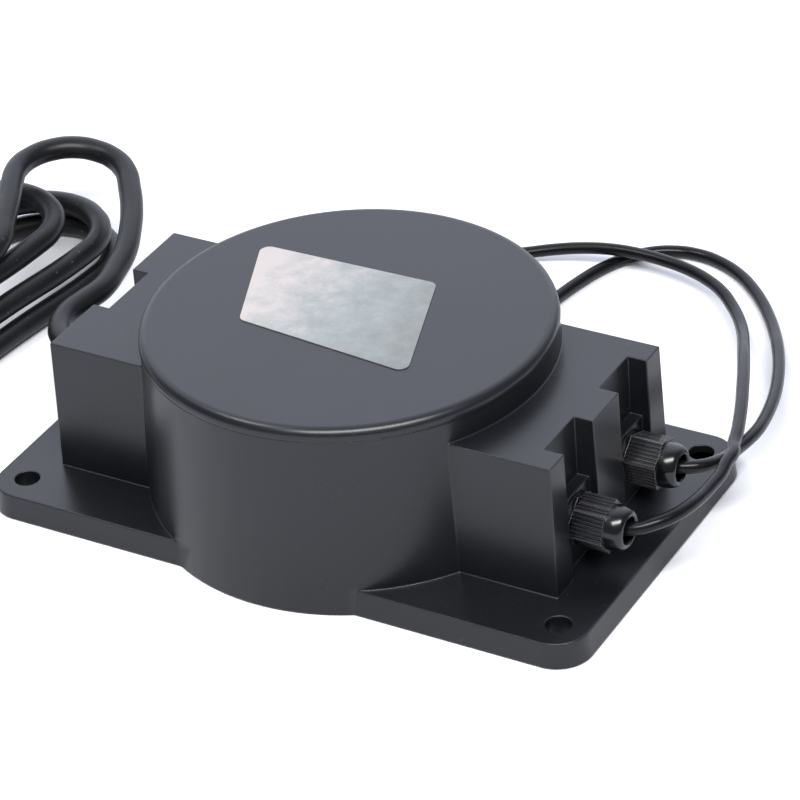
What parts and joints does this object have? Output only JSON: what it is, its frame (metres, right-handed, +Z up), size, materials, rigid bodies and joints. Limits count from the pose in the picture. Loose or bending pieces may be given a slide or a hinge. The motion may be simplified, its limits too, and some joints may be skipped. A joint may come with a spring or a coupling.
{
  "type": "pool light transformer",
  "caption": "Potted low-voltage transformer for pool lights: a round drum between two blocks on a drilled flange, with a mains lead and output leads through dome-nut glands.",
  "frame": {"origin": "underside of the flange, at the centre of the four mounting holes", "axes": "+X along the flange towards the output glands, +Y towards the back, +Z up through the drum"},
  "size_m": [0.3409, 0.2803, 0.0653],
  "materials": {
    "housing_plastic": "satin moulded",
    "resin": "cast, smooth",
    "foil_label": "satin foil",
    "core_steel": "rolled strip",
    "wrap_film": "wound film",
    "copper_winding": "enamelled wire",
    "pad_rubber": "foam",
    "fuse_case": "plain case",
    "brown_core": "extruded",
    "blue_core": "extruded",
    "crimp_metal": "tinned",
    "splice_sleeve": "moulded",
    "mains_sheath": "matt rubber",
    "lead_sheath": "satin",
    "gland_rubber": "matt rubber",
    "gland_nylon": "moulded, glossy",
    "core_ends": "extruded",
    "ferrule_metal": "tinned",
    "tinned_copper": "tinned strands"
  },
  "bodies": {
    "transformer": {"housing": "housing_plastic", "potting_resin": "resin", "rating_label": "foil_label", "ring_core": "core_steel", "core_wrap": "wrap_film", "primary_winding": "copper_winding", "winding_barrier": "wrap_film", "secondary_winding": "copper_winding", "outer_wrap": "wrap_film", "top_pad": "pad_rubber", "thermal_fuse": "fuse_case", "live_core": "brown_core", "neutral_core": "blue_core", "neutral_crimp": "crimp_metal", "primary_ends": "copper_winding", "output_splices": "splice_sleeve", "secondary_ends": "copper_winding", "mains_tail": "mains_sheath", "output_tail_front": "lead_sheath", "output_tail_rear": "lead_sheath", "mains_gland_gasket": "gland_rubber", "mains_gland_body": "gland_nylon", "mains_lock_nut": "gland_nylon", "front_gland_gasket": "gland_rubber", "front_gland_body": "gland_nylon", "rear_gland_gasket": "gland_rubber", "rear_gland_body": "gland_nylon", "mains_lead": "mains_sheath", "mains_hank": "mains_sheath", "mains_end_cores": "core_ends", "mains_end_ferrules": "ferrule_metal", "front_lead": "lead_sheath", "front_lead_coil": "lead_sheath", "front_lead_end": "tinned_copper", "rear_lead": "lead_sheath", "rear_lead_coil": "lead_sheath", "rear_lead_end": "tinned_copper"},
    "mains_seal": {"mains_gland_seal": "gland_rubber"},
    "mains_nut": {"mains_dome_nut": "gland_nylon"},
    "front_seal": {"front_gland_seal": "gland_rubber"},
    "front_nut": {"front_dome_nut": "gland_nylon"},
    "rear_seal": {"rear_gland_seal": "gland_rubber"},
    "rear_nut": {"rear_dome_nut": "gland_nylon"}
  },
  "joints": [
    {"name": "mains_nut_travel", "type": "slide", "parent": "transformer", "child": "mains_seal", "axis": [-1, 0, 0], "range_m": [0, 0.00225]},
    {"name": "mains_nut_turn", "type": "hinge", "parent": "mains_seal", "child": "mains_nut", "pos_m": [-0.0921, 0, 0.0243], "axis": [-1, 0, 0], "range_deg": [0, 540]},
    {"name": "front_nut_travel", "type": "slide", "parent": "transformer", "child": "front_seal", "axis": [1, 0, 0], "range_m": [0, 0.00225]},
    {"name": "front_nut_turn", "type": "hinge", "parent": "front_seal", "child": "front_nut", "pos_m": [0.0955, -0.0179, 0.0243], "axis": [1, 0, 0], "range_deg": [0, 540]},
    {"name": "rear_nut_travel", "type": "slide", "parent": "transformer", "child": "rear_seal", "axis": [1, 0, 0], "range_m": [0, 0.00225]},
    {"name": "rear_nut_turn", "type": "hinge", "parent": "rear_seal", "child": "rear_nut", "pos_m": [0.0955, 0.0179, 0.0243], "axis": [1, 0, 0], "range_deg": [0, 540]}
  ],
  "couplings": [
    {"joint": "mains_nut_turn", "follows": "mains_nut_travel", "rad_per_m": 4188.8},
    {"joint": "front_nut_turn", "follows": "front_nut_travel", "rad_per_m": 4188.8},
    {"joint": "rear_nut_turn", "follows": "rear_nut_travel", "rad_per_m": 4188.8}
  ]
}
